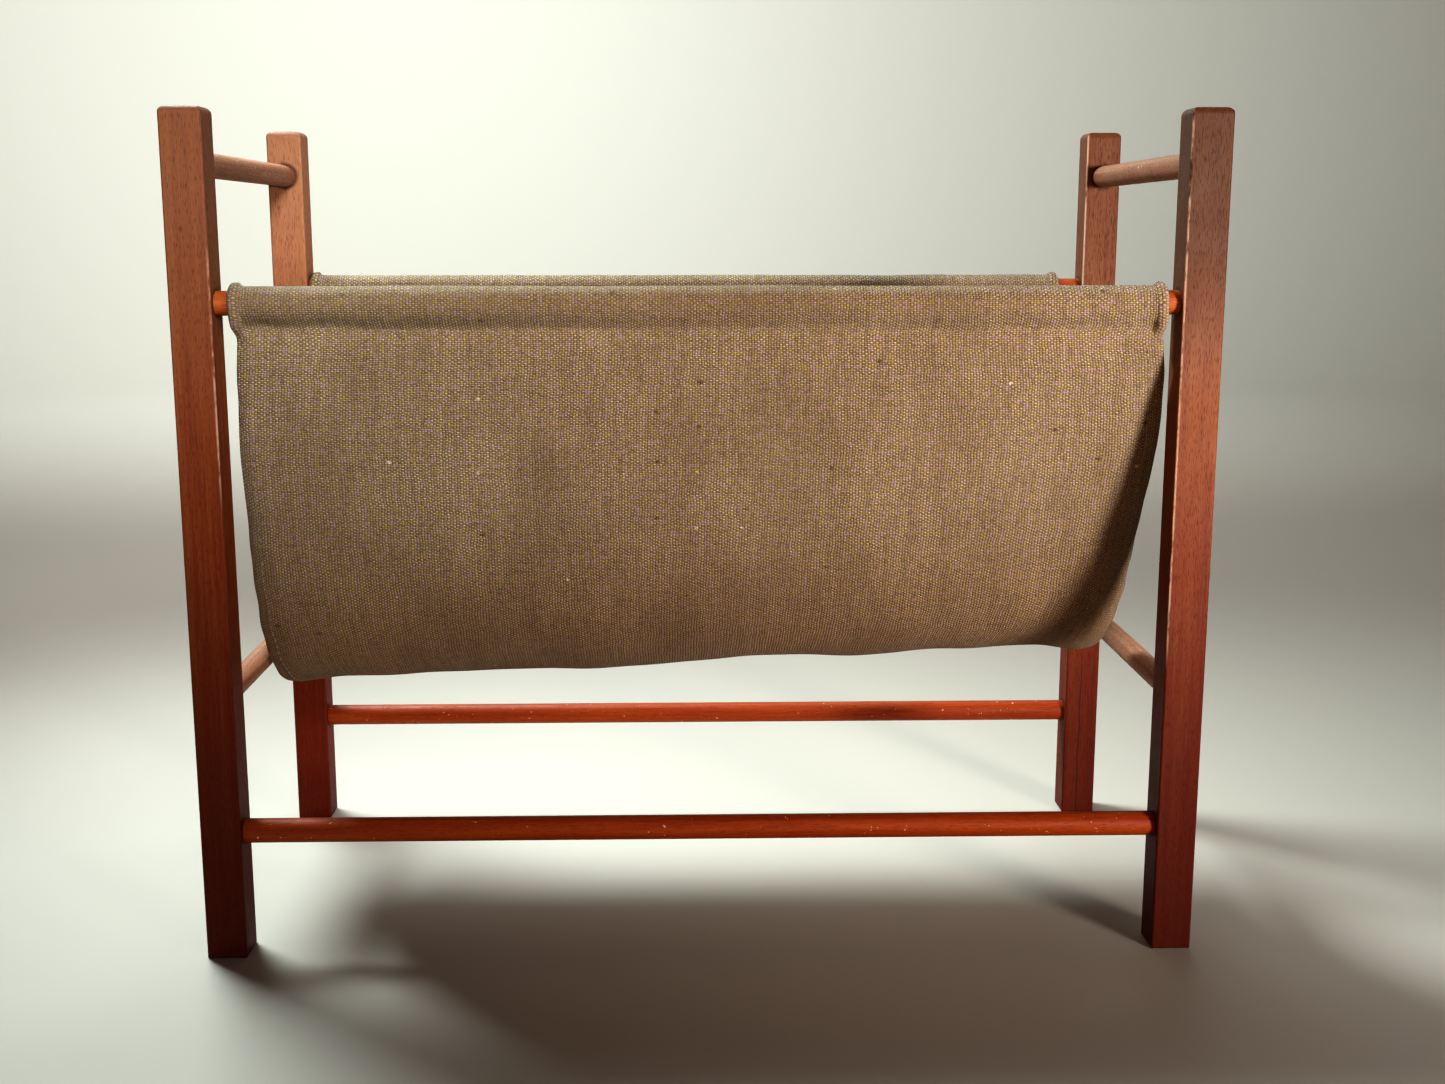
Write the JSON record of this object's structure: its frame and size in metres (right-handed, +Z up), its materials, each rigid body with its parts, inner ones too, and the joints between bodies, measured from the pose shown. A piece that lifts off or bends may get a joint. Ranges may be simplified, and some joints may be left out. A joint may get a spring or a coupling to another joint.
{
  "type": "magazine rack",
  "caption": "Free-standing sling magazine rack: square wooden posts joined by round dowels, with a canvas sling hung between two rods that holds magazines upright.",
  "frame": {"origin": "on the floor, at the middle of the four feet", "axes": "+X along the sling towards the right post pair, -Y the front, +Z up"},
  "size_m": [0.4894, 0.2196, 0.41],
  "materials": {
    "post_wood": "oiled red-brown hardwood with dark pores, satin",
    "dowel_wood": "oiled orange-brown hardwood dowel, satin",
    "canvas": "coarse plain-weave cloth in beige and olive brown, matt",
    "thread": "spun sewing thread, matt"
  },
  "bodies": {
    "frame": {"front_left_post": "post_wood", "front_right_post": "post_wood", "back_left_post": "post_wood", "back_right_post": "post_wood", "left_top_rail": "dowel_wood", "right_top_rail": "dowel_wood", "left_low_rail": "dowel_wood", "right_low_rail": "dowel_wood", "front_sling_rod": "dowel_wood", "back_sling_rod": "dowel_wood", "front_stretcher": "dowel_wood", "back_stretcher": "dowel_wood"},
    "sling": {"canvas_sling": "canvas", "front_sleeve_thread": "thread", "back_sleeve_thread": "thread", "left_hem_thread": "thread", "right_hem_thread": "thread"}
  },
  "joints": [
    {"name": "sling_slide", "type": "slide", "parent": "frame", "child": "sling", "axis": [1, 0, 0], "range_m": [-0.001, 0.0065]}
  ]
}
